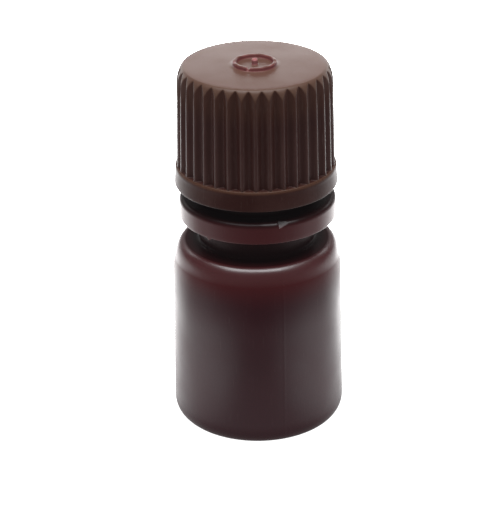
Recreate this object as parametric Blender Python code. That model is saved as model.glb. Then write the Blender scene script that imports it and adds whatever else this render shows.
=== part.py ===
"""Small amber plastic reagent bottle with a ribbed screw cap and a sealing liner.

Metres, +Z up. The origin is the centre of the base ring, on the surface the bottle stands on.
Every piece is turned about the Z axis, which is also the axis of the screw cap.
"""

import math

import bmesh
import bpy

# Bottle body
BODY_RADIUS = 0.00875
SHOULDER_RADIUS = 0.00856
BASE_CORNER_RADIUS = 0.00183
BASE_RING_INNER_RADIUS = 0.0054
BASE_PUSH_UP = 0.0007
WALL = 0.00075
FLOOR_THICKNESS = 0.0008
SHOULDER_START = 0.0155
SHOULDER_TOP = 0.0195
SHOULDER_TOP_RADIUS = 0.0074
SHOULDER_SQUARENESS = 0.83
NECK_ROOT_HEIGHT = 0.0196
NECK_FILLET = 0.0004

# Neck, transfer bead and mouth
NECK_RADIUS = 0.0058
BORE_RADIUS = 0.00425
BEAD_BOTTOM = 0.02223
BEAD_TOP = 0.02442
BEAD_RADIUS = 0.00785
BEAD_TOP_CHAMFER = 0.00012
BEAD_BOTTOM_ROUND = 0.00035
MOUTH_HEIGHT = 0.03585
MOUTH_CHAMFER = 0.0002

# Screw thread, right-handed, the same lead on neck and cap
THREAD_LEAD = 0.0254 / 12
THREAD_TURNS = 2.0
THREAD_CREST_RADIUS = 0.00645
THREAD_BASE_WIDTH = 0.0010
THREAD_CREST_WIDTH = 0.00045
THREAD_FADE_TURNS = 0.12
THREAD_ROOT_OVERLAP = 0.0003
NECK_THREAD_START = 0.03017
CAP_THREAD_CREST_RADIUS = 0.0062
CAP_THREAD_OFFSET = -0.00075
CAP_THREAD_SHIFT_TURNS = -0.3

# Cap
CAP_BOTTOM = 0.02582
CAP_TOP = 0.0380
CAP_INNER_TOP = 0.0370
CAP_BORE_RADIUS = 0.00675
CAP_LEAD_IN = 0.0004
FLANGE_BOTTOM_RADIUS = 0.00814
FLANGE_TOP_RADIUS = 0.00804
FLANGE_HEIGHT = 0.00218
FLANGE_EDGE = 0.00015
FLANGE_LEDGE_RISE = 0.00004
RIB_COUNT = 36
RIB_DEPTH = 0.00046
RIB_CREST_SHARE = 0.18
RIB_GROOVE_SHARE = 0.34
RIB_FOOT_RADIUS = 0.00792
RIB_TOP_RADIUS = 0.00762
RIB_FLARE_HEIGHT = 0.0004
CAP_EDGE_WIDTH = 0.00075
CAP_EDGE_HEIGHT = 0.0018
GATE_RING_INNER_RADIUS = 0.0018
GATE_RING_OUTER_RADIUS = 0.00216
GATE_RING_HEIGHT = 0.00042
GATE_STUB_RADIUS = 0.0003
GATE_STUB_HEIGHT = 0.0006
GATE_ROOT = 0.0002

# Liner
LINER_BOTTOM = 0.03605
LINER_THICKNESS = 0.0008
LINER_RADIUS = 0.0065
LINER_EDGE = 0.0001

# Facets
TURNED_STEPS = 64
BORE_STEPS = 48
STUB_STEPS = 16
ARC_STEPS = 4
SHOULDER_STEPS = 7
MERGE = 0.000005
SHARP_ANGLE = math.radians(35)

AMBER_BODY = (0.045, 0.017, 0.020)
AMBER_CAP = (0.052, 0.020, 0.016)
LINER_WHITE = (0.78, 0.77, 0.73)


def clear_scene():
    for obj in list(bpy.data.objects):
        bpy.data.objects.remove(obj, do_unlink=True)


def plastic(name, colour, roughness):
    material = bpy.data.materials.new(name)
    material.use_nodes = True
    shader = material.node_tree.nodes["Principled BSDF"]
    shader.inputs["Base Color"].default_value = (*colour, 1)
    shader.inputs["Roughness"].default_value = roughness
    shader.inputs["Metallic"].default_value = 0
    return material


def add_empty(name):
    empty = bpy.data.objects.new(name, None)
    bpy.context.scene.collection.objects.link(empty)
    return empty


def add_object(name, bm, parent=None, height=0.0, material=None):
    """Turns a bmesh into a smooth object whose origin lies on the bottle's axis, at the given height."""
    bmesh.ops.recalc_face_normals(bm, faces=bm.faces)
    mesh = bpy.data.meshes.new(name)
    bm.to_mesh(mesh)
    bm.free()
    mesh.shade_smooth()
    mesh.set_sharp_from_angle(angle=SHARP_ANGLE)
    obj = bpy.data.objects.new(name, mesh)
    bpy.context.scene.collection.objects.link(obj)
    obj.parent = parent
    obj.location = (0, 0, height)
    if material:
        mesh.materials.append(material)
    return obj


def arc(centre_radius, centre_height, width, height, start_degrees, end_degrees):
    """Points of an elliptical arc in the (radius, height) plane, measured from the outward direction."""
    points = []
    for i in range(ARC_STEPS + 1):
        angle = math.radians(start_degrees + (end_degrees - start_degrees) * i / ARC_STEPS)
        points.append((centre_radius + width * math.cos(angle), centre_height + height * math.sin(angle)))
    return points


def shoulder_outline():
    """From the flat top of the shoulder over its tight upper curve down to the body's side."""
    points = []
    for i in range(SHOULDER_STEPS + 1):
        angle = math.radians(90 - 90 * i / SHOULDER_STEPS)
        across = max(0.0, math.cos(angle)) ** SHOULDER_SQUARENESS
        up = max(0.0, math.sin(angle)) ** SHOULDER_SQUARENESS
        radius = SHOULDER_TOP_RADIUS + (SHOULDER_RADIUS - SHOULDER_TOP_RADIUS) * across
        points.append((radius, SHOULDER_START + (SHOULDER_TOP - SHOULDER_START) * up))
    return points


def turned(name, outline, steps, parent, height, material=None):
    """A solid turned from (radius, height) points, which start and end on the axis or close on themselves."""
    bm = bmesh.new()
    corners = [bm.verts.new((radius, 0, level)) for radius, level in outline]
    edges = [bm.edges.new(pair) for pair in zip(corners, corners[1:])]
    bmesh.ops.spin(bm, geom=corners + edges, cent=(0, 0, 0), axis=(0, 0, 1), angle=math.tau, steps=steps)
    bmesh.ops.remove_doubles(bm, verts=bm.verts, dist=MERGE)
    return add_object(name, bm, parent, height, material)


def helper(obj):
    """Marks an object that only cuts or joins another one."""
    obj.hide_render = True
    obj.display_type = "WIRE"
    return obj


def boolean(obj, operation, tool):
    modifier = obj.modifiers.new(f"{operation} {tool.name}", "BOOLEAN")
    modifier.operation = operation
    modifier.solver = "EXACT"
    modifier.object = tool


def thread_ridge(name, wall_radius, crest_radius, start_height, start_turns, turns, parent, height):
    """A helical ridge with a trapezoid section, which rises out of the wall at each end."""
    outward = 1 if crest_radius > wall_radius else -1
    root = wall_radius - outward * THREAD_ROOT_OVERLAP
    buried_crest = wall_radius - outward * THREAD_ROOT_OVERLAP / 2
    steps = round(turns * BORE_STEPS)
    bm = bmesh.new()
    sections = []
    for i in range(steps + 1):
        turned_by = turns * i / steps
        from_end = min(turned_by, turns - turned_by)
        rise = min(1.0, from_end / THREAD_FADE_TURNS)
        crest = buried_crest + (crest_radius - buried_crest) * rise
        angle = math.tau * (start_turns + turned_by)
        middle = start_height + THREAD_LEAD * (start_turns + turned_by)
        section = (
            (root, -THREAD_BASE_WIDTH / 2),
            (crest, -THREAD_CREST_WIDTH / 2),
            (crest, THREAD_CREST_WIDTH / 2),
            (root, THREAD_BASE_WIDTH / 2),
        )
        ring = [
            bm.verts.new((radius * math.cos(angle), radius * math.sin(angle), middle + offset))
            for radius, offset in section
        ]
        sections.append(ring)
    for ring, following in zip(sections, sections[1:]):
        for k in range(4):
            bm.faces.new((ring[k], ring[(k + 1) % 4], following[(k + 1) % 4], following[k]))
    bm.faces.new(sections[0])
    bm.faces.new(sections[-1])
    return helper(add_object(name, bm, parent, height))


def bottle_outline():
    """Inner floor, inner wall, mouth, then down the outer side to the middle of the push-up."""
    inner_corner = BASE_CORNER_RADIUS - WALL
    inner_shoulder_drop = SHOULDER_TOP - SHOULDER_START - WALL
    inside = [(0, BASE_PUSH_UP + FLOOR_THICKNESS), (BASE_RING_INNER_RADIUS, FLOOR_THICKNESS)]
    inside += arc(BODY_RADIUS - BASE_CORNER_RADIUS, BASE_CORNER_RADIUS, inner_corner,
                  BASE_CORNER_RADIUS - FLOOR_THICKNESS, -90, 0)
    inside += arc(SHOULDER_TOP_RADIUS - WALL, SHOULDER_START,
                  SHOULDER_RADIUS - SHOULDER_TOP_RADIUS, inner_shoulder_drop, 0, 75)
    inside += [(BORE_RADIUS, NECK_ROOT_HEIGHT - WALL / 2)]
    mouth = [
        (BORE_RADIUS, MOUTH_HEIGHT - MOUTH_CHAMFER),
        (BORE_RADIUS + MOUTH_CHAMFER, MOUTH_HEIGHT),
        (NECK_RADIUS - MOUTH_CHAMFER, MOUTH_HEIGHT),
        (NECK_RADIUS, MOUTH_HEIGHT - MOUTH_CHAMFER),
    ]
    bead = [
        (NECK_RADIUS, BEAD_TOP),
        (BEAD_RADIUS - BEAD_TOP_CHAMFER, BEAD_TOP),
        (BEAD_RADIUS, BEAD_TOP - BEAD_TOP_CHAMFER),
        (BEAD_RADIUS, BEAD_BOTTOM + BEAD_BOTTOM_ROUND),
        (BEAD_RADIUS - BEAD_BOTTOM_ROUND, BEAD_BOTTOM),
        (NECK_RADIUS, BEAD_BOTTOM),
    ]
    outside = [
        (NECK_RADIUS, NECK_ROOT_HEIGHT + NECK_FILLET),
        (NECK_RADIUS + NECK_FILLET, NECK_ROOT_HEIGHT),
    ]
    outside += shoulder_outline()
    outside += arc(BODY_RADIUS - BASE_CORNER_RADIUS, BASE_CORNER_RADIUS,
                   BASE_CORNER_RADIUS, BASE_CORNER_RADIUS, 0, -90)
    outside += [
        (BASE_RING_INNER_RADIUS, 0),
        (BASE_RING_INNER_RADIUS / 2, BASE_PUSH_UP * 0.75),
        (0, BASE_PUSH_UP),
    ]
    return inside + mouth + bead + outside


def make_bottle(parent):
    material = plastic("amber_polyethylene", AMBER_BODY, 0.38)
    bottle = turned("bottle", bottle_outline(), TURNED_STEPS, parent, 0, material)
    thread = thread_ridge("neck_thread_guide", NECK_RADIUS, THREAD_CREST_RADIUS,
                          NECK_THREAD_START, 0, THREAD_TURNS, parent, 0)
    boolean(bottle, "UNION", thread)
    return bottle


def cap_level(height):
    return height - CAP_BOTTOM


def rib_crest_radius(level):
    """The ribs lean inwards towards the top, and flare at their foot to meet the flange."""
    foot = FLANGE_HEIGHT + RIB_FLARE_HEIGHT
    if level < foot:
        share = (foot - level) / RIB_FLARE_HEIGHT
        return RIB_FOOT_RADIUS + (FLANGE_TOP_RADIUS - RIB_FOOT_RADIUS) * share
    share = (level - foot) / (cap_level(CAP_TOP) - foot)
    return RIB_FOOT_RADIUS + (RIB_TOP_RADIUS - RIB_FOOT_RADIUS) * share


def ribbed_ring(level, limit, crest):
    """One ring of the cap's outer side: a narrow crest and a wider groove per rib, within the limit."""
    section = (
        (-RIB_CREST_SHARE / 2, crest),
        (RIB_CREST_SHARE / 2, crest),
        (0.5 - RIB_GROOVE_SHARE / 2, crest - RIB_DEPTH),
        (0.5 + RIB_GROOVE_SHARE / 2, crest - RIB_DEPTH),
    )
    points = []
    for rib in range(RIB_COUNT):
        for share, wanted in section:
            angle = math.tau * (rib + share) / RIB_COUNT
            radius = min(wanted, limit)
            points.append((radius * math.cos(angle), radius * math.sin(angle), level))
    return points


def cap_rings():
    """The cap's outer side from its bottom edge to the rim of its flat top."""
    top = cap_level(CAP_TOP)
    smooth = [
        (FLANGE_BOTTOM_RADIUS - FLANGE_EDGE, 0),
        (FLANGE_BOTTOM_RADIUS, FLANGE_EDGE),
        (FLANGE_TOP_RADIUS, FLANGE_HEIGHT),
    ]
    rings = [ribbed_ring(level, radius, radius + RIB_DEPTH) for radius, level in smooth]
    edge_start = top - CAP_EDGE_HEIGHT
    for level in (FLANGE_HEIGHT, FLANGE_HEIGHT + RIB_FLARE_HEIGHT, edge_start):
        crest = rib_crest_radius(level)
        raised = FLANGE_LEDGE_RISE if level == FLANGE_HEIGHT else 0
        rings.append(ribbed_ring(level + raised, crest, crest))
    flat_radius = rib_crest_radius(edge_start) - CAP_EDGE_WIDTH
    edge = arc(flat_radius, edge_start, CAP_EDGE_WIDTH, CAP_EDGE_HEIGHT, 0, 90)
    for radius, level in edge[1:]:
        rings.append(ribbed_ring(level, radius, rib_crest_radius(level)))
    return rings


def cap_cavity_outline():
    """The hollow under the cap: its seat for the liner, its bore and the lead-in at its mouth."""
    below = 0.001
    return [
        (0, cap_level(CAP_INNER_TOP)),
        (CAP_BORE_RADIUS, cap_level(CAP_INNER_TOP)),
        (CAP_BORE_RADIUS, CAP_LEAD_IN),
        (CAP_BORE_RADIUS + CAP_LEAD_IN, 0),
        (CAP_BORE_RADIUS + CAP_LEAD_IN, -below),
        (0, -below),
    ]


def gate_ring_outline():
    """A closed section for the low wall round the gate stub, rooted in the cap's flat top."""
    below = cap_level(CAP_TOP) - GATE_ROOT
    above = cap_level(CAP_TOP) + GATE_RING_HEIGHT
    return [
        (GATE_RING_INNER_RADIUS, above),
        (GATE_RING_OUTER_RADIUS, above),
        (GATE_RING_OUTER_RADIUS, below),
        (GATE_RING_INNER_RADIUS, below),
        (GATE_RING_INNER_RADIUS, above),
    ]


def gate_stub_outline():
    """The short stub that the moulding gate leaves in the middle of the cap's top."""
    below = cap_level(CAP_TOP) - GATE_ROOT
    above = cap_level(CAP_TOP) + GATE_STUB_HEIGHT
    return [(0, above), (GATE_STUB_RADIUS, above), (GATE_STUB_RADIUS, below), (0, below)]


def make_cap(parent):
    bm = bmesh.new()
    rings = [[bm.verts.new(point) for point in ring] for ring in cap_rings()]
    for lower, upper in zip(rings, rings[1:]):
        for i in range(len(lower)):
            j = (i + 1) % len(lower)
            bm.faces.new((lower[i], lower[j], upper[j], upper[i]))
    bm.faces.new(reversed(rings[0]))
    bm.faces.new(rings[-1])
    cap = add_object("cap", bm, parent, CAP_BOTTOM, plastic("amber_polypropylene", AMBER_CAP, 0.42))
    cavity = turned("cap_cavity_cutter", cap_cavity_outline(), BORE_STEPS, parent, CAP_BOTTOM)
    boolean(cap, "DIFFERENCE", helper(cavity))
    gate_ring = turned("gate_ring_guide", gate_ring_outline(), BORE_STEPS, parent, CAP_BOTTOM)
    boolean(cap, "UNION", helper(gate_ring))
    gate_stub = turned("gate_stub_guide", gate_stub_outline(), STUB_STEPS, parent, CAP_BOTTOM)
    boolean(cap, "UNION", helper(gate_stub))
    thread = thread_ridge("cap_thread_guide", CAP_BORE_RADIUS, CAP_THREAD_CREST_RADIUS,
                          cap_level(NECK_THREAD_START) + CAP_THREAD_OFFSET,
                          CAP_THREAD_SHIFT_TURNS, THREAD_TURNS, parent, CAP_BOTTOM)
    boolean(cap, "UNION", thread)
    return cap


def make_liner(parent):
    outline = [
        (0, LINER_THICKNESS),
        (LINER_RADIUS - LINER_EDGE, LINER_THICKNESS),
        (LINER_RADIUS, LINER_THICKNESS - LINER_EDGE),
        (LINER_RADIUS, LINER_EDGE),
        (LINER_RADIUS - LINER_EDGE, 0),
        (0, 0),
    ]
    material = plastic("liner_foam", LINER_WHITE, 0.6)
    return turned("liner", outline, TURNED_STEPS, parent, LINER_BOTTOM, material)


def main():
    clear_scene()
    assembly = add_empty("bottle_assembly")
    cap_axis = add_empty("cap_axis")
    cap_axis.parent = assembly
    make_bottle(assembly)
    make_cap(cap_axis)
    make_liner(cap_axis)


main()
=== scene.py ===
"""The looks of a small amber plastic reagent bottle with a ribbed screw cap and a foam liner.

Everything is in metres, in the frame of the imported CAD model: +Z up, the bottle's axis at
X = Y = 0. Three fine meshes stand for the three CAD nodes, and each gets a procedural plastic or
foam material. Angles are counter-clockwise from +X. The front of the bottle, which the camera
faces, is -Y.
"""

import math

import bpy
import numpy as np
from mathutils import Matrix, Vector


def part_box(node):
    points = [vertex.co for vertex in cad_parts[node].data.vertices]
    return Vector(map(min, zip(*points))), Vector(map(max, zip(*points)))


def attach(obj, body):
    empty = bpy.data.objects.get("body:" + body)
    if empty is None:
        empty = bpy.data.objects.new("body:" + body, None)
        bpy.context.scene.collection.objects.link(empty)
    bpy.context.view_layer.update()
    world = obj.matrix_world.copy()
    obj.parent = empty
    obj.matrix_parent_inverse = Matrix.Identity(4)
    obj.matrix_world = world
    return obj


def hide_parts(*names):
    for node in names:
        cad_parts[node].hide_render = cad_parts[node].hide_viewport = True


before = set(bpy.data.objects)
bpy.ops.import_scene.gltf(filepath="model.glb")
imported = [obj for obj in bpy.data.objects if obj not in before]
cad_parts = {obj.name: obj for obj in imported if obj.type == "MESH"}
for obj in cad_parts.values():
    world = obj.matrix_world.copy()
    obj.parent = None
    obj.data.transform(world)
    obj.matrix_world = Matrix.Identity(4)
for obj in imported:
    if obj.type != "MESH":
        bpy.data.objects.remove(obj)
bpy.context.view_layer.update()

# Places read from the frame
BODY_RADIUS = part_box("bottle")[1].x
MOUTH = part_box("bottle")[1].z
GATE_STUB_HEIGHT = 0.0006
CAP_BOTTOM, CAP_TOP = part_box("cap")[0].z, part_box("cap")[1].z - GATE_STUB_HEIGHT
LINER_BOTTOM, LINER_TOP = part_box("liner")[0].z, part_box("liner")[1].z
LINER_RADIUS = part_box("liner")[1].x
FRONT = -math.pi / 2

# Bottle body
SHOULDER_RADIUS = 0.00856
BASE_CORNER_RADIUS = 0.00183
BASE_RING_INNER_RADIUS = 0.0054
BASE_PUSH_UP = 0.0007
PUSH_UP_FLAT_SHARE = 0.35
WALL = 0.00075
FLOOR_THICKNESS = 0.0008
SHOULDER_START = 0.0155
SHOULDER_TOP = 0.01958
SHOULDER_TOP_RADIUS = 0.0072
SHOULDER_SQUARENESS = 0.83
NECK_ROOT_HEIGHT = 0.0196
NECK_FILLET = 0.0004

# Slight unevenness of the blown wall: two lobes, and three weaker ones that turn with height
WALL_WAVE = 0.000012
WALL_WAVE_PHASE = 0.7
WALL_WAVE_THIRD = 0.6
WALL_WAVE_TWIST = 700

# Neck, bead and mouth
NECK_RADIUS = 0.0058
BORE_RADIUS = 0.00425
BEAD_BOTTOM = 0.02223
BEAD_TOP = 0.02442
BEAD_RADIUS = 0.00785
BEAD_TOP_ROUND = 0.0005
BEAD_BOTTOM_ROUND = 0.00015
BEAD_SHIFT = 0.00012
BEAD_ROOT_FILLET = 0.0003
MOUTH_ROUND = 0.00025

# Traces of the mould: the parting line, a chip in the bead where it crosses, a burr below the bead,
# and the line under the base where the blown tube was pinched off
SEAM_ANGLE = FRONT + math.radians(17.5)
SEAM_HEIGHT = 0.000014
SEAM_WIDTH = 0.00018
CHIP_DEPTH = 0.00066
CHIP_STEEP_SIDE = 0.0002
CHIP_LONG_SIDE = 0.0021
CHIP_LONG_SIDE_CURVE = 1.3
CHIP_OFFSET = 0.00033
CHIP_INWARD, CHIP_DOWNWARD = 0.35, 0.65
BURR_ANGLE = FRONT - math.radians(38)
BURR_DROP = 0.00022
BURR_HALF_WIDTH = 0.00035
PINCH_HALF_LENGTH = 0.0036
PINCH_FADE_START = 0.9
PINCH_HALF_WIDTH = 0.00016
PINCH_HEIGHT = 0.00014

# Screw threads
THREAD_LEAD = 0.0254 / 12
THREAD_TURNS = 2.0
THREAD_HEIGHT = 0.00065
THREAD_BASE_WIDTH = 0.0010
THREAD_CREST_WIDTH = 0.0004
THREAD_FADE_TURNS = 0.12
NECK_THREAD_START = 0.03017
CAP_THREAD_OFFSET = -0.00075
CAP_THREAD_SHIFT_TURNS = -0.3
CAP_THREAD_HEIGHT = 0.00055
THREAD_ROW_STEP = 0.00009

# Cap
CAP_INNER_TOP = 0.0370
CAP_BORE_RADIUS = 0.00675
CAP_LEAD_IN = 0.0004
CAP_INNER_ROUND = 0.00025
FLANGE_BOTTOM_RADIUS = 0.00814
FLANGE_TOP_RADIUS = 0.00804
FLANGE_HEIGHT = 0.0020
FLANGE_TOP_ROUND = 0.00016
FLANGE_TOP_DROP = 0.00042
FLANGE_BOTTOM_ROUND = 0.00011
FLANGE_SIDE_START = 1.25 * FLANGE_TOP_DROP
LEDGE = CAP_BOTTOM + FLANGE_HEIGHT
CAP_EDGE_WIDTH = 0.00075
CAP_EDGE_HEIGHT = 0.0018
CAP_EDGE_DEGREES = (6, 88)

# Grip ribs. Their hollow grooves turn into sharp Vs between the last two depths below the cap top.
RIB_COUNT = 36
RIB_DEPTH = 0.00048
RIB_CREST_SHARE = 0.07
RIB_FOOT_RADIUS = 0.00786
RIB_TOP_RADIUS = 0.00763
RIB_FLARE_HEIGHT = 0.0005
RIB_FOOT_FILLET = 0.00006
RIB_BLEND = 0.00004
GROOVE_FULLNESS = 1.25
GROOVE_HOLLOW_BELOW, GROOVE_SHARP_ABOVE = 0.0030, 0.0010

# Gate ring and stub on the cap's top. GATE_STUB_TOP is the outline of the stub's slanted end, as
# radii and how far it has dropped there.
GATE_RING_INNER_RADIUS = 0.0018
GATE_RING_OUTER_RADIUS = 0.00216
GATE_RING_HEIGHT = 0.00042
GATE_STUB_RADIUS = 0.0003
GATE_STUB_MIDDLE = 0.93
GATE_STUB_SLANT = 0.06
GATE_STUB_TOP = ((0.00012, 0), (0.00022, 0), (0.00028, 0.00003), (GATE_STUB_RADIUS, 0.0001))
GATE_STUB_FOOT = 0.00004
GATE_FILLET = 0.00005
GATE_WALL_LEAN = 0.00001
GATE_WALL_ROUND = 0.00006
GATE_TEAR_COARSE, GATE_TEAR_FINE = 0.05, 0.04
GATE_NICK_ANGLE = math.radians(252)
GATE_NICK_DEPTH = 0.6 * GATE_RING_HEIGHT
GATE_NICK_EDGES = (0.00004, 0.00018)

# Liner
LINER_EDGE_ROUND = 0.00012
LINER_DENT = 0.00007
LINER_DENT_EDGES = (0.0004, 0.0009)

# How finely the surfaces are divided
BOTTLE_STEPS = 360
SEAM_CROWDING = 0.5
CAP_OUTER_STEPS = RIB_COUNT * 16
CAP_CORE_STEPS = CAP_OUTER_STEPS // 4
CAP_INNER_STEPS = CAP_OUTER_STEPS // 3
CAP_ROW_GAP = 0.0001
GATE_FLOOR_START = 0.0005
FLAT_TOP_GAP = 0.0005
LEDGE_SHARES = (0.15, 0.5, 0.85, 1.0)
CEILING_RINGS = (0.0045, 0.0022, 0.0006)
LINER_STEPS = 120
INNERMOST_RING = 0.0006
LINER_INNERMOST_RING = 0.0004

# Colours, as linear red, green and blue
BODY_DARK, BODY_LIGHT = (0.015, 0.0012, 0.0030), (0.022, 0.0024, 0.0046)
# Painted light: the shoulder's redder tone stands for the top light and the glow through its thin
# wall
SHOULDER_PAINTED_LIGHT = (0.040, 0.0062, 0.0072)
CAP_DARK, CAP_LIGHT = (0.022, 0.0050, 0.0034), (0.030, 0.0078, 0.0056)
CREST_WORN = (0.060, 0.030, 0.026)
# Painted highlight on the flange's upper rounded edge
LEDGE_PAINTED_HIGHLIGHT = (0.048, 0.021, 0.013)
GATE_RING_RED = (0.112, 0.033, 0.032)
GATE_STUB_RED = (0.19, 0.072, 0.072)
FOAM_LIGHT, FOAM_DARK = (0.80, 0.78, 0.72), (0.70, 0.68, 0.62)
FOAM_PORE = (0.55, 0.53, 0.48)
TABLE_DARK, TABLE_LIGHT = (0.10, 0.10, 0.10), (0.12, 0.12, 0.12)
SHEEN_TINT = (0.95, 0.98, 1, 1)
GLOW_TINT = (1, 0.9, 0.95, 1)

# Tints, as a strength and a colour
# Painted shade in the hollow between the shoulder and the bead
HOLLOW_PAINTED_SHADE = 0.6, (0.004, 0.0010, 0.0014)
# Painted shade on the bead's top, in the gap under the cap
GAP_PAINTED_SHADE = 0.75, (0.003, 0.0008, 0.0010)
BODY_SCUFF_TINT = 0.05, (0.10, 0.075, 0.072)
BODY_SPECK_TINT = 0.2, (0.16, 0.13, 0.12)
FLANGE_TINT = 0.6, (0.012, 0.0015, 0.0008)
# Painted light: the rib tips are lighter towards the top, where the overhead light falls
RIB_TIP_PAINTED_LIGHT = 0.4, (0.046, 0.017, 0.0085)
# Painted light: the flat top, facing the overhead light, is painted lighter
TOP_PAINTED_LIGHT = 0.9, (0.065, 0.0340, 0.0235)
CAP_SCUFF_TINT = 0.10, (0.12, 0.09, 0.08)

# Ramps of the bottle's looks. Each runs from its first to its second value, of the height if its
# name doesn't say of what, and from 0 to 1 or else from its third number to its fourth.
SHOULDER_PAINTED_LIGHT_RAMP = (0.0150, 0.0185)
# Where the painted shade falls: the hollow under the bead and the gap on the bead's top
HOLLOW_FOOT_RAMP = (0.0190, NECK_ROOT_HEIGHT)
HOLLOW_TOP_RAMP = (BEAD_BOTTOM + 0.0001, BEAD_BOTTOM)
HOLLOW_RADIUS_RAMP = (0.0075, 0.0071)
GAP_FOOT_RAMP = (BEAD_TOP - 0.0007, BEAD_TOP - 0.0001)
GAP_TOP_RAMP = (BEAD_TOP + 0.0010, BEAD_TOP + 0.0004)
BODY_SHINE_RAMP = (0.0118, 0.0166, 0.172, 0.065)
SHOULDER_SHINE_RAMP = (0.0175, 0.0188, 0, 0.62)
NECK_SHINE_RAMP = (NECK_ROOT_HEIGHT, BEAD_BOTTOM, 1, 0.12)
FOOT_SHINE_RAMP = (0.0003, 0.0026, 0.15, 1)
HOLLOW_SHARE_SHINE_RAMP = (0, 1, 1, 0.08)
SHOULDER_POLISH_RAMP = (0.0165, 0.0185, 0, 0.045)
CHIP_UPWARD_RAMP = (0.2, 0.5)
CHIP_DISTANCE_RAMP = (0.0026, 0.0014)
CHIP_SHINE = 0.28

# Ramps of the cap's looks, in the same way
FLANGE_RAMP = (LEDGE + 0.0001, LEDGE - 0.0001)
FLANGE_SHARE_SHINE_RAMP = (0, 1, 0.176, 0.07)
CREST_RADIUS_RAMP = (RIB_TOP_RADIUS - 0.0001, RIB_TOP_RADIUS + 0.00015)
CREST_CLOUD_RAMP = (0.35, 0.65, 0.05, 0.22)
LEDGE_UPWARD_RAMP = (0.06, 0.35)
LEDGE_TOP_RAMP = (LEDGE + 0.0004, LEDGE + 0.0002)
LEDGE_RADIUS_RAMP = (0.00772, 0.00788)
RIB_TIP_RAMP = (CAP_TOP - 0.0042, CAP_TOP - 0.0020)
TOP_UPWARD_RAMP = (0.03, 0.28)
TOP_RAMP = (CAP_TOP - 0.0024, CAP_TOP - 0.0009)
GATE_FOOT_RAMP = (CAP_TOP - 0.00001, CAP_TOP + 0.00004)
GATE_RIM_RAMP = (CAP_TOP + GATE_RING_HEIGHT * 0.8, CAP_TOP + GATE_RING_HEIGHT * 0.9, 1, 0.3)
STUB_RADIUS_RAMP = (0.0005, 0.0004)
STUB_FOOT_RAMP = (CAP_TOP, CAP_TOP + 0.0001)

# Textures of the plastics and the foam: a noise is its scale, its detail and, if it has one, its
# stretch; a bump is its depth and its strength; specks are their scale and their size
GRAIN_NOISE, GRAIN_BUMP = (11000, 3), (0.000008, 0.14)
FLOW_NOISE, FLOW_BUMP = (1300, 2), (0.00002, 0.10)
CLOUD_NOISE, CLOUD_RAMP = (260, 4), (0.3, 0.7)
SCUFF_NOISE, SCUFF_RAMP = (900, 2, (9, 9, 0.6)), (0.62, 0.72)
PORE_NOISE, PORE_BUMP, PORE_RAMP = (5200, 4), (0.00005, 0.6), (0.55, 0.7)
FOAM_CLOUD_NOISE, FOAM_ROUGHNESS_RAMP = (500, 3), (0.3, 0.7, 0.55, 0.75)
SPECKS = (420, 0.030)
SPECK_RARITY = 0.8
BODY_ROUGHNESS, CAP_ROUGHNESS = 0.36, 0.40
CLOUDS_SMOOTHER, CLOUDS_ROUGHER = 0.035, 0.045
SCUFF_ROUGHNESS = 0.05
PLASTIC_IOR, FOAM_IOR = 1.5, 1.45
PLASTIC_GLOW = 0.004

# Light table: how its glow changes with Y (fade, shade depth, beside, behind) and with X (shade
# width, sides, right), and how white it and the world look to the camera
TABLE_HALF_SIZE = 1.5
TABLE_GAP = 0.00002
TABLE_NOISE = (8, 3)
TABLE_ROUGHNESS, TABLE_IOR = 0.9, 1.2
TABLE_GLOW = 0.12
TABLE_SEEN_GLOW = 1.2
TABLE_BRIGHT_GLOW = 3.8
TABLE_FADE = (-0.045, -0.010)
TABLE_SHADE_WIDTH = (0.006, 0.016, 0.28, 1)
TABLE_SHADE_DEPTH = (-0.006, 0.006, 0, 1)
TABLE_SIDES = (0.042, 0.075, 1, 0.3)
TABLE_BESIDE_SHARE, TABLE_BEHIND_SHARE = 0.68, 1.5
TABLE_BESIDE = (-0.016, -0.004, 1, TABLE_BESIDE_SHARE)
TABLE_BEHIND = (0.004, 0.022, 0, TABLE_BEHIND_SHARE - TABLE_BESIDE_SHARE)
TABLE_RIGHT = (-0.01, 0.01, 1, 0.90)
WORLD_GLOW = 0.15
WHITE = (1, 1, 1, 1)

# Camera: distance and height in body radii from the bottle's axis and base, angles in radians, and
# lens and sensor in millimetres
CAMERA_DISTANCE = 22.0
CAMERA_HEIGHT = 12.4246
CAMERA_PITCH = 0.4415
CAMERA_ROLL = -0.0127
CAMERA_LENS = 149.6
CAMERA_SENSOR = 36.0
CAMERA_SHIFT = -0.0140


def smooth(low, high, value):
    """0 at low, 1 at high, level beyond them, and a soft S between them."""
    share = np.clip((value - low) / (high - low), 0, 1)
    return share * share * (3 - 2 * share)


def soft_min(first, second, blend):
    """The smaller of two lengths, rounded over where they are nearly equal."""
    share = np.clip(0.5 + (second - first) / (2 * blend), 0, 1)
    return second + (first - second) * share - blend * share * (1 - share)


def arc(centre_radius, centre_height, width, height, start, end, steps):
    """(radius, height) points of an elliptical arc; degrees from the outward direction."""
    angles = np.radians(np.linspace(start, end, steps + 1))
    return [(centre_radius + width * math.cos(a), centre_height + height * math.sin(a))
            for a in angles]


def squarish_arc(centre_radius, centre_height, width, height, squareness, steps):
    """(radius, height) points from straight up to straight out, fuller than an ellipse if
    squareness is below 1."""
    angles = np.linspace(math.pi / 2, 0, steps + 1)
    across, up = np.clip(np.cos(angles), 0, 1) ** squareness, np.sin(angles) ** squareness
    return list(zip(centre_radius + width * across, centre_height + height * up))


def line(start, end, steps):
    """Evenly spaced (radius, height) points from start up to, but without, end."""
    start, end = np.array(start), np.array(end)
    return [tuple(start + (end - start) * i / steps) for i in range(steps)]


def around(steps, closer_at=0.0, closer=0.0):
    """Angles all the way round, which may lie closer together round one of them."""
    angles = np.arange(steps) * math.tau / steps
    return angles - closer * np.sin(angles - closer_at)


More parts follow.
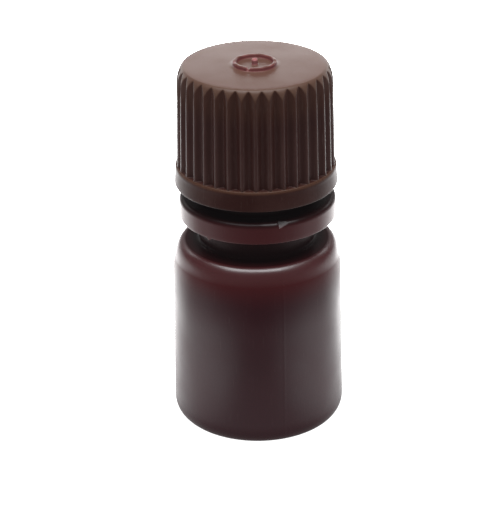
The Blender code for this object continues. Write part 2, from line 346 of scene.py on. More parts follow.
def arc_distance(angles, centre, radius):
    """Signed distance along a circle of that radius from the centre angle."""
    return (np.mod(angles - centre + math.pi, math.tau) - math.pi) * radius


def ring(radius, height, angles):
    """Points round the axis; radius and height are numbers or one value for each angle."""
    radius = np.broadcast_to(radius, angles.shape)
    height = np.broadcast_to(height, angles.shape)
    return np.stack([radius * np.cos(angles), radius * np.sin(angles), height], axis=1)


def pole(height):
    """The ring of one point, on the axis, that closes a skin."""
    return np.array([[0, 0, height]])


def thread(angles, height, start, shift, ridge):
    """How far a right-handed thread stands out of the wall at this height, for each angle."""
    stands = np.zeros_like(angles)
    for turn in range(-1, math.ceil(THREAD_TURNS) + 1):
        along = np.mod(angles / math.tau - shift, 1) + turn
        middle = start + THREAD_LEAD * (along + shift)
        flank = 1 - smooth(THREAD_CREST_WIDTH / 2, THREAD_BASE_WIDTH / 2, np.abs(height - middle))
        fade_in = smooth(0, THREAD_FADE_TURNS, along)
        fade_out = smooth(0, THREAD_FADE_TURNS, THREAD_TURNS - along)
        stands = np.maximum(stands, ridge * flank * (fade_in * fade_out))
    return stands


def skin(name, rows):
    """A closed mesh through rings of points that run down its outer side. A ring of one point is
    a pole, and a ring may have a whole number of times as many points as the next."""
    starts = np.cumsum([0] + [len(row) for row in rows])
    faces = []
    for first, second, at, then in zip(rows, rows[1:], starts, starts[1:]):
        count = max(len(first), len(second))
        if len(first) == len(second):
            i = np.arange(count)
            j = (i + 1) % count
            faces += np.stack([at + i, then + i, then + j, at + j], axis=1).tolist()
            continue
        fewer = min(len(first), len(second))
        each = count // fewer
        for k in range(fewer):
            many = [(k * each + m) % count for m in range(each + 1)]
            beside = (k + 1) % fewer
            if len(first) == 1:
                faces += [[at, then + a, then + b] for a, b in zip(many, many[1:])]
            elif len(second) == 1:
                faces += [[at + a, then, at + b] for a, b in zip(many, many[1:])]
            elif len(first) == count:
                faces.append([at + m for m in reversed(many)] + [then + k, then + beside])
            else:
                faces.append([at + beside, at + k] + [then + m for m in many])
    mesh = bpy.data.meshes.new(name)
    mesh.from_pydata(np.concatenate(rows).tolist(), [], faces)
    mesh.shade_smooth()
    piece = bpy.data.objects.new(name, mesh)
    bpy.context.scene.collection.objects.link(piece)
    return piece


# ---------------------------------------------------------------- bottle


def bottle_inside():
    """(radius, height) from the inner floor up the inside and over the mouth."""
    root = NECK_ROOT_HEIGHT - WALL / 2
    rim = MOUTH - MOUTH_ROUND
    points = [(r, FLOOR_THICKNESS + BASE_PUSH_UP * (1 - (r / BASE_RING_INNER_RADIUS) ** 2))
              for r in np.linspace(INNERMOST_RING, BASE_RING_INNER_RADIUS, 6)]
    points += arc(BODY_RADIUS - BASE_CORNER_RADIUS, BASE_CORNER_RADIUS,
                  BASE_CORNER_RADIUS - WALL, BASE_CORNER_RADIUS - FLOOR_THICKNESS, -90, 0, 8)
    points += arc(SHOULDER_TOP_RADIUS - WALL, SHOULDER_START,
                  SHOULDER_RADIUS - SHOULDER_TOP_RADIUS, SHOULDER_TOP - SHOULDER_START - WALL,
                  0, 75, 8)
    points += line((BORE_RADIUS + NECK_FILLET, root), (BORE_RADIUS, root + NECK_FILLET), 2)
    points += line((BORE_RADIUS, root + NECK_FILLET), (BORE_RADIUS, rim), 6)
    points += arc(BORE_RADIUS + MOUTH_ROUND, rim, MOUTH_ROUND, MOUTH_ROUND, 180, 90, 5)
    points += arc(NECK_RADIUS - MOUTH_ROUND, rim, MOUTH_ROUND, MOUTH_ROUND, 90, 0, 5)[:-1]
    return points


def bottle_outside():
    """(radius, height) from the mouth down the neck, over the bead and the body, to the base."""
    rim = MOUTH - MOUTH_ROUND
    threaded = BEAD_TOP + BEAD_ROOT_FILLET
    rows = round((rim - threaded) / THREAD_ROW_STEP)
    points = line((NECK_RADIUS, rim), (NECK_RADIUS, threaded), rows)
    points += arc(NECK_RADIUS + BEAD_ROOT_FILLET, threaded,
                  BEAD_ROOT_FILLET, BEAD_ROOT_FILLET, 180, 270, 4)

    chip_inner = BEAD_RADIUS - CHIP_DEPTH
    chip_foot = BEAD_TOP - CHIP_DEPTH
    points += line((NECK_RADIUS + 2 * BEAD_ROOT_FILLET, BEAD_TOP), (chip_inner, BEAD_TOP), 3)
    points += line((chip_inner, BEAD_TOP), (BEAD_RADIUS - BEAD_TOP_ROUND, BEAD_TOP), 6)
    points += arc(BEAD_RADIUS - BEAD_TOP_ROUND, BEAD_TOP - BEAD_TOP_ROUND,
                  BEAD_TOP_ROUND, BEAD_TOP_ROUND, 90, 0, 7)[:-1]
    points += line((BEAD_RADIUS, BEAD_TOP - BEAD_TOP_ROUND), (BEAD_RADIUS, chip_foot), 6)
    points += line((BEAD_RADIUS, chip_foot), (BEAD_RADIUS, BEAD_BOTTOM + BEAD_BOTTOM_ROUND), 5)
    points += arc(BEAD_RADIUS - BEAD_BOTTOM_ROUND, BEAD_BOTTOM + BEAD_BOTTOM_ROUND,
                  BEAD_BOTTOM_ROUND, BEAD_BOTTOM_ROUND, 0, -90, 8)
    points += [(NECK_RADIUS + BEAD_ROOT_FILLET, BEAD_BOTTOM)]

    root = NECK_ROOT_HEIGHT + NECK_FILLET
    points += line((NECK_RADIUS, BEAD_BOTTOM - BEAD_ROOT_FILLET), (NECK_RADIUS, root), 5)
    points += arc(NECK_RADIUS + NECK_FILLET, root, NECK_FILLET, NECK_FILLET, 180, 255, 6)
    points += line((NECK_RADIUS + NECK_FILLET, NECK_ROOT_HEIGHT),
                   (SHOULDER_TOP_RADIUS, SHOULDER_TOP), 6)[1:]
    points += squarish_arc(SHOULDER_TOP_RADIUS, SHOULDER_START,
                           SHOULDER_RADIUS - SHOULDER_TOP_RADIUS, SHOULDER_TOP - SHOULDER_START,
                           SHOULDER_SQUARENESS, 32)[:-1]
    points += line((SHOULDER_RADIUS, SHOULDER_START), (BODY_RADIUS, BASE_CORNER_RADIUS), 20)
    points += arc(BODY_RADIUS - BASE_CORNER_RADIUS, BASE_CORNER_RADIUS,
                  BASE_CORNER_RADIUS, BASE_CORNER_RADIUS, 0, -90, 14)
    points += line((BASE_RING_INNER_RADIUS, 0), (0, 0), 16)
    return points


def blown_wall(radius, height, angles):
    """How far the wall of the body stands out of its profile: its parting line, a hair-fine ridge
    on two opposite sides, and its unevenness. It is 0 or less, so the body stays in its box."""
    nearest = np.minimum(np.abs(arc_distance(angles, SEAM_ANGLE, radius)),
                         np.abs(arc_distance(angles, SEAM_ANGLE + math.pi, radius)))
    seam = SEAM_HEIGHT * (1 - smooth(0, SEAM_WIDTH, nearest))
    wave = np.sin(2 * angles + WALL_WAVE_PHASE) + WALL_WAVE_THIRD * np.sin(
        3 * angles + height * WALL_WAVE_TWIST)
    body = smooth(0, BASE_CORNER_RADIUS, height) * (radius > SHOULDER_TOP_RADIUS)
    return body * (seam - SEAM_HEIGHT + WALL_WAVE * (wave - (1 + WALL_WAVE_THIRD)))


def chipped(radius, height, angles):
    """Cuts the chip out of the bead's top edge as a slanted facet."""
    along = arc_distance(angles, SEAM_ANGLE, BEAD_RADIUS) + CHIP_OFFSET
    steep = np.clip(1 + along / CHIP_STEEP_SIDE, 0, 1)
    shallow = np.clip(1 - along / CHIP_LONG_SIDE, 0, 1) ** CHIP_LONG_SIDE_CURVE
    cut = CHIP_DEPTH * np.where(along < 0, steep, shallow)
    beyond = (radius - BEAD_RADIUS) + (height - BEAD_TOP) + cut
    beyond = np.where(cut > 0, np.maximum(beyond, 0), 0)
    return radius - CHIP_INWARD * beyond, height - CHIP_DOWNWARD * beyond


def burr(angles):
    """A small torn tooth of plastic that hangs from the bead's lower edge."""
    along = np.abs(arc_distance(angles, BURR_ANGLE, BEAD_RADIUS)) / BURR_HALF_WIDTH
    return BURR_DROP * (1 - smooth(0, 1, along))


def underside(radius, angles):
    """Heights of the shallow dome inside the resting ring, with the pinch-off line across it."""
    dome = BASE_PUSH_UP * smooth(BASE_RING_INNER_RADIUS,
                                 BASE_RING_INNER_RADIUS * PUSH_UP_FLAT_SHARE, radius)
    across = np.abs(radius * np.sin(angles - SEAM_ANGLE))
    end = smooth(PINCH_HALF_LENGTH * PINCH_FADE_START, PINCH_HALF_LENGTH, radius)
    return dome - PINCH_HEIGHT * ((1 - smooth(0, PINCH_HALF_WIDTH, across)) * (1 - end))


def outside_ring(radius, height, angles):
    """A ring of the bottle's outside, with the thread or the traces of the mould on it."""
    r = np.full_like(angles, radius)
    z = np.full_like(angles, height)
    if height > BEAD_TOP + BEAD_ROOT_FILLET:
        r += thread(angles, height, NECK_THREAD_START, 0, THREAD_HEIGHT)
    elif height > BEAD_BOTTOM + BEAD_BOTTOM_ROUND:
        r, z = chipped(r, z, angles)
    elif radius > BEAD_RADIUS - 2 * BEAD_BOTTOM_ROUND and height > SHOULDER_TOP:
        z -= burr(angles)
    elif height > 0:
        r += blown_wall(radius, height, angles)
    else:
        z = underside(radius, angles)
    points = ring(r, z, angles)
    if radius > NECK_RADIUS + BEAD_ROOT_FILLET and height > SHOULDER_TOP + NECK_FILLET:
        points[:, 0] += BEAD_SHIFT
    return points


def bottle_rows():
    """From the inner floor up the inside, over the mouth and down the outside to the base."""
    angles = around(BOTTLE_STEPS, SEAM_ANGLE, SEAM_CROWDING)
    rows = [pole(BASE_PUSH_UP + FLOOR_THICKNESS)]
    rows += [ring(radius, height, angles) for radius, height in bottle_inside()]
    rows += [outside_ring(radius, height, angles) for radius, height in bottle_outside()]
    rows.append(pole(BASE_PUSH_UP))
    return rows


# ------------------------------------------------------------------- cap


def crest_radius(height):
    """The ribs lean in towards the top and flare a little at the foot."""
    lean = RIB_FOOT_RADIUS + (
        RIB_TOP_RADIUS - RIB_FOOT_RADIUS) * (height - LEDGE) / (CAP_TOP - LEDGE)
    flare = FLANGE_TOP_RADIUS - FLANGE_TOP_ROUND - RIB_FOOT_RADIUS
    return lean + flare * (1 - smooth(0, RIB_FLARE_HEIGHT, height - LEDGE))


def flute(angles, height):
    """0 on a rib's narrow crest, 1 on the groove's floor: hollow, then a V near the cap's top."""
    sharp = smooth(CAP_TOP - GROOVE_HOLLOW_BELOW, CAP_TOP - GROOVE_SHARP_ABOVE, height)
    crest_share = RIB_CREST_SHARE * (1 - sharp)
    from_crest = np.abs(np.mod(angles * RIB_COUNT / math.tau + 0.5, 1) - 0.5)
    share = np.clip((from_crest - crest_share) / (0.5 - crest_share), 0, 1)
    return np.sin(share * math.pi / 2) ** GROOVE_FULLNESS * (1 - sharp) + share * sharp


def cap_edge_radius(height):
    """The rounded top edge, as the largest radius that it allows."""
    start = CAP_TOP - CAP_EDGE_HEIGHT
    above = np.clip((height - start) / CAP_EDGE_HEIGHT, 0, 1)
    return crest_radius(start) - CAP_EDGE_WIDTH * (1 - math.sqrt(1 - above ** 2))


def ribbed(height, angles):
    """Radius of the ribbed side, which runs out into the rounded top edge."""
    grooved = crest_radius(height) - RIB_DEPTH * flute(angles, height)
    if height < CAP_TOP - CAP_EDGE_HEIGHT:
        return grooved
    return soft_min(cap_edge_radius(height), grooved, RIB_BLEND)


def gate_rows(angles):
    """The stub that the gate leaves in the middle of the top, and the low, torn wall round it."""
    slanted = GATE_STUB_HEIGHT * (GATE_STUB_MIDDLE + GATE_STUB_SLANT * np.sin(angles))
    points = [(radius, slanted - drop) for radius, drop in GATE_STUB_TOP]
    points += [(GATE_STUB_RADIUS, slanted * 0.4), (GATE_STUB_RADIUS, GATE_STUB_FOOT),
               (GATE_STUB_RADIUS + GATE_FILLET, 0)]
    floor = np.linspace(GATE_FLOOR_START, GATE_RING_INNER_RADIUS - GATE_FILLET, 9)
    points += [(radius, 0) for radius in floor]

    torn = GATE_RING_HEIGHT * (
        1 + GATE_TEAR_COARSE * np.sin(5 * angles + 1) + GATE_TEAR_FINE * np.sin(11 * angles)
        - (GATE_TEAR_COARSE + GATE_TEAR_FINE))
    nick = np.abs(arc_distance(angles, GATE_NICK_ANGLE, GATE_RING_OUTER_RADIUS))
    torn -= GATE_NICK_DEPTH * (1 - smooth(*GATE_NICK_EDGES, nick))
    wall = [(0, GATE_FILLET), (GATE_WALL_LEAN, torn * 0.5),
            (2 * GATE_WALL_LEAN, torn - GATE_WALL_ROUND), (GATE_WALL_LEAN + GATE_WALL_ROUND, torn)]
    points += [(GATE_RING_INNER_RADIUS + inset, stands) for inset, stands in wall]
    points += [(GATE_RING_OUTER_RADIUS - inset, stands) for inset, stands in reversed(wall)]
    points += [(GATE_RING_OUTER_RADIUS + GATE_FILLET, 0)]
    return [ring(radius, CAP_TOP + stands, angles) for radius, stands in points]


def cap_outside(angles):
    """The flat top round the gate ring, the ribbed side and the flange down to its bottom edge."""
    flat = np.linspace(GATE_RING_OUTER_RADIUS + FLAT_TOP_GAP, cap_edge_radius(CAP_TOP), 10)
    rows = [ring(radius, CAP_TOP, angles) for radius in flat]

    edge = [CAP_TOP - CAP_EDGE_HEIGHT * (1 - math.cos(turned))
            for turned in np.radians(np.linspace(*CAP_EDGE_DEGREES, 30))]
    side = np.linspace(CAP_TOP - CAP_EDGE_HEIGHT - CAP_ROW_GAP,
                       LEDGE + RIB_FLARE_HEIGHT + CAP_ROW_GAP, 14)
    flare = np.linspace(LEDGE + RIB_FLARE_HEIGHT, LEDGE + RIB_FOOT_FILLET, 8)
    rows += [ring(ribbed(height, angles), height, angles) for height in (*edge, *side, *flare)]

    foot = ribbed(LEDGE + RIB_FOOT_FILLET, angles)
    lip = FLANGE_TOP_RADIUS - FLANGE_TOP_ROUND
    rows += [ring(foot + (lip - foot) * share, LEDGE + RIB_FOOT_FILLET * (1 - share) ** 2, angles)
             for share in LEDGE_SHARES]

    flange = arc(lip, LEDGE - FLANGE_TOP_DROP, FLANGE_TOP_ROUND, FLANGE_TOP_DROP, 75, 0, 9)
    flange += line((FLANGE_TOP_RADIUS, LEDGE - FLANGE_SIDE_START),
                   (FLANGE_BOTTOM_RADIUS, CAP_BOTTOM + FLANGE_BOTTOM_ROUND), 6)
    flange += arc(FLANGE_BOTTOM_RADIUS - FLANGE_BOTTOM_ROUND, CAP_BOTTOM + FLANGE_BOTTOM_ROUND,
                  FLANGE_BOTTOM_ROUND, FLANGE_BOTTOM_ROUND, 0, -90, 7)
    return rows + [ring(radius, height, angles) for radius, height in flange]


def cap_inside(angles):
    """From the cap's mouth up the threaded bore and across its ceiling."""
    rows = [ring(radius, height, angles)
            for radius, height in arc(CAP_BORE_RADIUS + CAP_LEAD_IN, CAP_BOTTOM + CAP_LEAD_IN,
                                      CAP_LEAD_IN, CAP_LEAD_IN, 270, 180, 5)]
    ceiling = CAP_INNER_TOP - CAP_INNER_ROUND
    levels = np.linspace(CAP_BOTTOM + CAP_LEAD_IN, ceiling,
                         round((ceiling - CAP_BOTTOM) / THREAD_ROW_STEP))
    for height in levels[1:]:
        stands = thread(angles, height, NECK_THREAD_START + CAP_THREAD_OFFSET,
                        CAP_THREAD_SHIFT_TURNS, CAP_THREAD_HEIGHT)
        rows.append(ring(CAP_BORE_RADIUS - stands, height, angles))
    rows += [ring(radius, height, angles)
             for radius, height in arc(CAP_BORE_RADIUS - CAP_INNER_ROUND, ceiling,
                                       CAP_INNER_ROUND, CAP_INNER_ROUND, 15, 90, 5)]
    return rows + [ring(radius, CAP_INNER_TOP, angles) for radius in CEILING_RINGS]


def cap_rows():
    """From the middle of the top, down the outside, round the bottom edge and up the inside."""
    rows = [pole(CAP_TOP + GATE_STUB_HEIGHT * GATE_STUB_MIDDLE)]
    rows += gate_rows(around(CAP_CORE_STEPS))
    rows += cap_outside(around(CAP_OUTER_STEPS))
    rows += cap_inside(around(CAP_INNER_STEPS))
    rows.append(pole(CAP_INNER_TOP))
    return rows


# ----------------------------------------------------------------- liner


def liner_rows():
    """A foam disc with rounded edges, pressed in slightly where the bottle's rim bears on it."""
    rim = (NECK_RADIUS + BORE_RADIUS) / 2
    edge = LINER_EDGE_ROUND
    outline = [(radius, LINER_TOP)
               for radius in np.linspace(LINER_INNERMOST_RING, LINER_RADIUS - edge, 12)]
    outline += arc(LINER_RADIUS - edge, LINER_TOP - edge, edge, edge, 70, 0, 4)
    outline += arc(LINER_RADIUS - edge, LINER_BOTTOM + edge, edge, edge, 0, -90, 5)
    for radius in np.linspace(LINER_RADIUS - 2 * edge, LINER_INNERMOST_RING, 40):
        dent = LINER_DENT * (1 - smooth(*LINER_DENT_EDGES, abs(radius - rim)))
        outline.append((radius, LINER_BOTTOM + dent))
    angles = around(LINER_STEPS)
    rows = [ring(radius, height, angles) for radius, height in outline]
    return [pole(LINER_TOP), *rows, pole(LINER_BOTTOM)]


# ------------------------------------------------------------- materials


class Nodes:
    """Short names for building a material's node tree."""

    def __init__(self, name):
        self.material = bpy.data.materials.new(name)
        self.material.use_nodes = True
        self.tree = self.material.node_tree
        self.shader = self.tree.nodes["Principled BSDF"]
        self.place = self.add("ShaderNodeTexCoord").outputs["Object"]

    def add(self, kind, **settings):
        node = self.tree.nodes.new(kind)
        for key, value in settings.items():
            setattr(node, key, value)
        return node

    def link(self, value, socket):
        """Feeds a socket with another node's output, or sets it to a plain value."""
        if isinstance(value, bpy.types.NodeSocket):
            self.tree.links.new(value, socket)
        else:
            socket.default_value = value

    def math(self, operation, first, second=0.0):
        node = self.add("ShaderNodeMath", operation=operation)
        self.link(first, node.inputs[0])
        self.link(second, node.inputs[1])
        return node.outputs[0]

    def times(self, first, *others):
        for other in others:
            first = self.math("MULTIPLY", first, other)
        return first

    def ramp(self, value, low, high, start=0.0, end=1.0):
        """Start at low, end at high, level beyond them, and a soft S between them."""
        node = self.add("ShaderNodeMapRange", interpolation_type="SMOOTHSTEP", clamp=True)
        for socket, wanted in zip(node.inputs, (value, low, high, start, end)):
            self.link(wanted, socket)
        return node.outputs[0]

    def noise(self, scale, detail, stretch=(1, 1, 1)):
        mapping = self.add("ShaderNodeMapping")
        self.link(self.place, mapping.inputs["Vector"])
        mapping.inputs["Scale"].default_value = stretch
        node = self.add("ShaderNodeTexNoise")
        self.link(mapping.outputs["Vector"], node.inputs["Vector"])
        node.inputs["Scale"].default_value = scale
        node.inputs["Detail"].default_value = detail
        return node.outputs["Fac"]

    def specks(self, scale, size):
        """Small round dots, one at most in each cell and none in most of them."""
        node = self.add("ShaderNodeTexVoronoi")
        self.link(self.place, node.inputs["Vector"])
        node.inputs["Scale"].default_value = scale
        dot = self.ramp(node.outputs["Distance"], size, size * 0.5)
        chosen = self.add("ShaderNodeSeparateColor")
        self.link(node.outputs["Color"], chosen.inputs[0])
        return self.times(dot, self.math("GREATER_THAN", chosen.outputs[0], SPECK_RARITY))

    def blend(self, share, first, second):
        """The first colour where the share is 0, the second where it is 1."""
        node = self.add("ShaderNodeMix", data_type="RGBA")
        self.link(share, node.inputs["Factor"])
        for value, socket in ((first, node.inputs[6]), (second, node.inputs[7])):
            self.link(value if isinstance(value, bpy.types.NodeSocket) else (*value, 1), socket)
        return node.outputs[2]

    def tint(self, colour, share, tint):
        strength, wanted = tint
        return self.blend(self.times(share, strength), colour, wanted)

    def split(self, vector):
        """The X, Y and Z of a vector."""
        parts = self.add("ShaderNodeSeparateXYZ")
        self.link(vector, parts.inputs[0])
        return parts.outputs

    def height(self):
        return self.split(self.place)[2]

    def from_axis(self):
        """Distance from the bottle's axis."""
        x, y, _ = self.split(self.place)
        return self.math("SQRT", self.math("ADD", self.times(x, x), self.times(y, y)))

    def upward(self):
        """1 where the surface faces straight up, 0 on an upright wall."""
        return self.split(self.add("ShaderNodeNewGeometry").outputs["Normal"])[2]

    def near(self, point, far, close):
        """0 beyond far from the point, 1 within close of it."""
        node = self.add("ShaderNodeVectorMath", operation="DISTANCE")
        self.link(self.place, node.inputs[0])
        node.inputs[1].default_value = point
        return self.ramp(node.outputs["Value"], far, close)

    def bump(self, layers):
        """Chained bumps from (height, depth, strength) layers."""
        normal = None
        for value, depth, strength in layers:
            node = self.add("ShaderNodeBump")
            node.inputs["Distance"].default_value = depth
            node.inputs["Strength"].default_value = strength
            self.link(value, node.inputs["Height"])
            if normal:
                self.link(normal, node.inputs["Normal"])
            normal = node.outputs["Normal"]
        self.link(normal, self.shader.inputs["Normal"])

    def finish(self, colour, roughness, ior, glow=0.0):
        """The glow stands for the little light that comes through thick plastic."""
        self.link(colour, self.shader.inputs["Base Color"])
        self.link(roughness, self.shader.inputs["Roughness"])
        self.shader.inputs["IOR"].default_value = ior
        if glow:
            self.shader.inputs["Emission Color"].default_value = GLOW_TINT
            self.shader.inputs["Emission Strength"].default_value = glow
        return self.material


def moulded_surface(nodes, roughness):
    """Fine spark-eroded grain, faint flow waves, soft cloudy wear and hairline scuffs. Gives the
    clouds, the scuffs and the roughness."""
    grain = nodes.noise(*GRAIN_NOISE)
    flow = nodes.noise(*FLOW_NOISE)
    clouds = nodes.noise(*CLOUD_NOISE)
    scuffs = nodes.ramp(nodes.noise(*SCUFF_NOISE), *SCUFF_RAMP)
    nodes.bump([(flow, *FLOW_BUMP), (grain, *GRAIN_BUMP)])
    rough = nodes.ramp(clouds, *CLOUD_RAMP, roughness - CLOUDS_SMOOTHER, roughness + CLOUDS_ROUGHER)
    return clouds, scuffs, nodes.math("ADD", rough, nodes.times(scuffs, SCUFF_ROUGHNESS))


def bottle_material():
    """Dark amber, glossier on the shoulder and redder there with painted light, which stands for
    the
    top light and the glow through the thin wall. Painted shade makes it nearly black in the two
    gaps:
    the hollow between the shoulder and the bead, and the one between the bead and the cap."""
    nodes = Nodes("bottle_plastic")
    clouds, scuffs, roughness = moulded_surface(nodes, BODY_ROUGHNESS)
    height = nodes.height()
    body = nodes.blend(clouds, BODY_DARK, BODY_LIGHT)
    # Painted light: the shoulder is blended to a redder tone for the top light and the glow through
    # it
    colour = nodes.blend(nodes.ramp(height, *SHOULDER_PAINTED_LIGHT_RAMP), body, SHOULDER_PAINTED_LIGHT)
    # Painted shade: the hollow between the shoulder and the bead is darkened to nearly black
    hollow = nodes.times(nodes.ramp(height, *HOLLOW_FOOT_RAMP),
                         nodes.ramp(height, *HOLLOW_TOP_RAMP),
                         nodes.ramp(nodes.from_axis(), *HOLLOW_RADIUS_RAMP))
    colour = nodes.tint(colour, hollow, HOLLOW_PAINTED_SHADE)

    shine = nodes.math("MAXIMUM", nodes.ramp(height, *BODY_SHINE_RAMP),
                       nodes.ramp(height, *SHOULDER_SHINE_RAMP))
    shine = nodes.times(shine, nodes.ramp(hollow, *HOLLOW_SHARE_SHINE_RAMP))
    shine = nodes.math("MINIMUM", shine, nodes.ramp(height, *NECK_SHINE_RAMP))
    shine = nodes.times(shine, nodes.ramp(height, *FOOT_SHINE_RAMP))
    chip = (BEAD_RADIUS * math.cos(SEAM_ANGLE), BEAD_RADIUS * math.sin(SEAM_ANGLE), BEAD_TOP)
    torn = nodes.times(nodes.near(chip, *CHIP_DISTANCE_RAMP),
                       nodes.ramp(nodes.upward(), *CHIP_UPWARD_RAMP))
    shine = nodes.math("MAXIMUM", shine, nodes.times(torn, CHIP_SHINE))
    nodes.link(shine, nodes.shader.inputs["Specular IOR Level"])
    nodes.shader.inputs["Specular Tint"].default_value = SHEEN_TINT

    # Painted shade: the bead's top under the cap is darkened to nearly black
    gap = nodes.times(nodes.ramp(height, *GAP_FOOT_RAMP), nodes.ramp(height, *GAP_TOP_RAMP))
    colour = nodes.tint(colour, gap, GAP_PAINTED_SHADE)
    polish = nodes.ramp(height, *SHOULDER_POLISH_RAMP)
    roughness = nodes.math("SUBTRACT", roughness, polish)
    colour = nodes.tint(colour, scuffs, BODY_SCUFF_TINT)
    colour = nodes.tint(colour, nodes.specks(*SPECKS), BODY_SPECK_TINT)
    return nodes.finish(colour, roughness, PLASTIC_IOR, PLASTIC_GLOW)


def cap_material():
    """Dark brown, redder on the flange, and worn lighter on the rib crests. Painted light makes the
    flange's upper edge lighter as a highlight, and the rib tips and the flat top lighter where the
    overhead light falls. The gate ring and its stub are redder still."""
    nodes = Nodes("cap_plastic")
    clouds, scuffs, roughness = moulded_surface(nodes, CAP_ROUGHNESS)
    height = nodes.height()
    from_axis = nodes.from_axis()
    colour = nodes.blend(clouds, CAP_DARK, CAP_LIGHT)
    flange = nodes.ramp(height, *FLANGE_RAMP)
    colour = nodes.tint(colour, flange, FLANGE_TINT)
    shine = nodes.ramp(flange, *FLANGE_SHARE_SHINE_RAMP)
    nodes.link(shine, nodes.shader.inputs["Specular IOR Level"])

    worn = nodes.times(nodes.ramp(from_axis, *CREST_RADIUS_RAMP),
                       nodes.ramp(clouds, *CREST_CLOUD_RAMP))
    colour = nodes.blend(worn, colour, CREST_WORN)
    # Painted highlight: the flange's upper rounded edge is painted a lighter tan
    ledge_highlight = nodes.times(nodes.ramp(nodes.upward(), *LEDGE_UPWARD_RAMP),
                        nodes.ramp(height, *LEDGE_TOP_RAMP),
                        nodes.ramp(from_axis, *LEDGE_RADIUS_RAMP))
    colour = nodes.blend(ledge_highlight, colour, LEDGE_PAINTED_HIGHLIGHT)
    # Painted light: the rib tips grow lighter towards the top, where the overhead light falls
    colour = nodes.tint(colour, nodes.ramp(height, *RIB_TIP_RAMP), RIB_TIP_PAINTED_LIGHT)
    # Painted light: surfaces on the top that face upward are painted lighter, as lit from overhead
    lit_top = nodes.times(nodes.ramp(nodes.upward(), *TOP_UPWARD_RAMP),
                         nodes.ramp(height, *TOP_RAMP))
    colour = nodes.tint(colour, lit_top, TOP_PAINTED_LIGHT)

    wall = nodes.times(nodes.ramp(height, *GATE_FOOT_RAMP), nodes.ramp(height, *GATE_RIM_RAMP))
    colour = nodes.blend(wall, colour, GATE_RING_RED)
    stub = nodes.times(nodes.ramp(from_axis, *STUB_RADIUS_RAMP),
                       nodes.ramp(height, *STUB_FOOT_RAMP))
    colour = nodes.blend(stub, colour, GATE_STUB_RED)
    colour = nodes.tint(colour, scuffs, CAP_SCUFF_TINT)
    return nodes.finish(colour, roughness, PLASTIC_IOR, PLASTIC_GLOW)


def liner_material():
    """Off-white foam with darker pores."""
    nodes = Nodes("liner_foam")
    pores = nodes.noise(*PORE_NOISE)
    clouds = nodes.noise(*FOAM_CLOUD_NOISE)
    nodes.bump([(pores, *PORE_BUMP)])
    colour = nodes.blend(clouds, FOAM_LIGHT, FOAM_DARK)
    colour = nodes.blend(nodes.ramp(pores, *PORE_RAMP), colour, FOAM_PORE)
    return nodes.finish(colour, nodes.ramp(clouds, *FOAM_ROUGHNESS_RAMP), FOAM_IOR)


def floor_material():
    """A white light table. Its glow fades to the front and to the sides, is shaded in front of the
    bottle and is strongest behind it. To the camera alone it is plain white."""
    nodes = Nodes("studio_floor")
    colour = nodes.blend(nodes.noise(*TABLE_NOISE), TABLE_DARK, TABLE_LIGHT)
    x, y, _ = nodes.split(nodes.place)
    from_middle = nodes.math("ABSOLUTE", x)
    shade = nodes.math("MAXIMUM", nodes.ramp(from_middle, *TABLE_SHADE_WIDTH),
                       nodes.ramp(y, *TABLE_SHADE_DEPTH))
    fade = nodes.ramp(y, *TABLE_FADE)
    behind = nodes.math("ADD", nodes.ramp(y, *TABLE_BESIDE), nodes.ramp(y, *TABLE_BEHIND))
    right = nodes.ramp(x, *TABLE_RIGHT)
    sides = nodes.ramp(from_middle, *TABLE_SIDES)
    glow = nodes.times(nodes.times(fade, shade), nodes.times(behind, right), sides,
                       TABLE_BRIGHT_GLOW)
    glow = nodes.math("ADD", glow, TABLE_GLOW)
    camera_ray = nodes.add("ShaderNodeLightPath").outputs["Is Camera Ray"]
    seen = nodes.math("MULTIPLY", camera_ray, TABLE_SEEN_GLOW)
    nodes.shader.inputs["Emission Color"].default_value = WHITE
    nodes.link(nodes.math("MAXIMUM", glow, seen), nodes.shader.inputs["Emission Strength"])
    return nodes.finish(colour, TABLE_ROUGHNESS, TABLE_IOR)


# ---------------------------------------------------------------- studio


def add_floor():
    half = TABLE_HALF_SIZE
    corners = [(x, y, -TABLE_GAP)
               for x, y in ((-half, -half), (half, -half), (half, half), (-half, half))]
    mesh = bpy.data.meshes.new("studio_floor")
    mesh.from_pydata(corners, [], [(0, 1, 2, 3)])
    mesh.materials.append(floor_material())
    floor = bpy.data.objects.new("studio_floor", mesh)
    bpy.context.scene.collection.objects.link(floor)


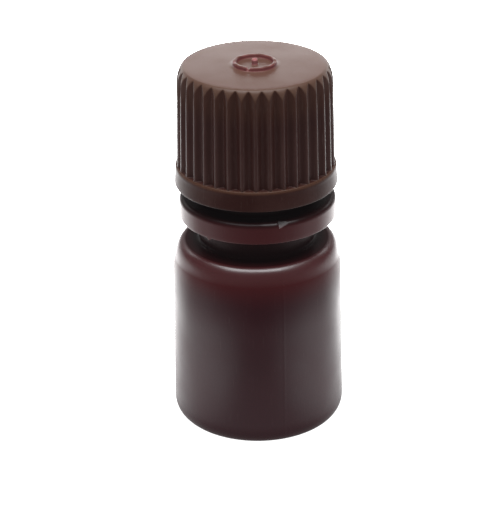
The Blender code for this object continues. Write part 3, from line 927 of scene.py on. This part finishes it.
def add_softbox(name, place, target, width, height, radiance):
    """An even rectangle of light that points at the target and isn't seen itself."""
    data = bpy.data.lights.new(name, "AREA")
    data.shape = "RECTANGLE"
    data.size = width
    data.size_y = height
    data.energy = radiance * math.pi * width * height
    light = bpy.data.objects.new(name, data)
    bpy.context.scene.collection.objects.link(light)
    light.location = place
    x, y, z = np.array(target) - np.array(place)
    light.rotation_euler = (math.atan2(math.hypot(x, y), -z), 0, math.atan2(y, x) - math.pi / 2)
    light.visible_camera = False


def add_world():
    """Weak even light from all round, which is plain white to the camera alone."""
    world = bpy.data.worlds.new("studio")
    world.use_nodes = True
    tree = world.node_tree
    background = tree.nodes["Background"]
    background.inputs["Color"].default_value = WHITE
    seen = tree.nodes.new("ShaderNodeLightPath")
    strength = tree.nodes.new("ShaderNodeMapRange")
    strength.inputs["To Min"].default_value = WORLD_GLOW
    strength.inputs["To Max"].default_value = TABLE_SEEN_GLOW
    tree.links.new(seen.outputs["Is Camera Ray"], strength.inputs["Value"])
    tree.links.new(strength.outputs["Result"], background.inputs["Strength"])
    bpy.context.scene.world = world


def add_camera():
    data = bpy.data.cameras.new("camera")
    data.lens = CAMERA_LENS
    data.sensor_width = CAMERA_SENSOR
    data.shift_x = CAMERA_SHIFT
    data.clip_start = 0.01
    data.clip_end = 10
    camera = bpy.data.objects.new("camera", data)
    bpy.context.scene.collection.objects.link(camera)
    camera.location = (0, -CAMERA_DISTANCE * BODY_RADIUS, CAMERA_HEIGHT * BODY_RADIUS)
    camera.rotation_euler = (math.pi / 2 - CAMERA_PITCH, 0, 0)
    camera.rotation_euler.rotate_axis("Z", CAMERA_ROLL)
    bpy.context.scene.camera = camera


def dress(piece, material, body, node):
    piece.data.materials.append(material)
    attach(piece, body)
    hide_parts(node)


add_camera()
add_world()
add_floor()
add_softbox("softbox_overhead", place=(0, -0.06, 0.36), target=(0, 0, 0.02),
            width=0.40, height=0.26, radiance=9.4)
add_softbox("softbox_back", place=(0, 0.35, 0.105), target=(0, 0, 0.105),
            width=0.70, height=0.20, radiance=0.3)
add_softbox("softbox_low", place=(0, 0.022, 0.0425), target=(0, 0, CAP_TOP),
            width=0.08, height=0.006, radiance=4)

dress(skin("bottle_moulding", bottle_rows()), bottle_material(),
      "bottle_body", "bottle")
dress(skin("cap_moulding", cap_rows()), cap_material(),
      "cap_body", "cap")
dress(skin("liner_disc", liner_rows()), liner_material(),
      "liner_body", "liner")

bpy.context.scene.view_settings.view_transform = "Standard"
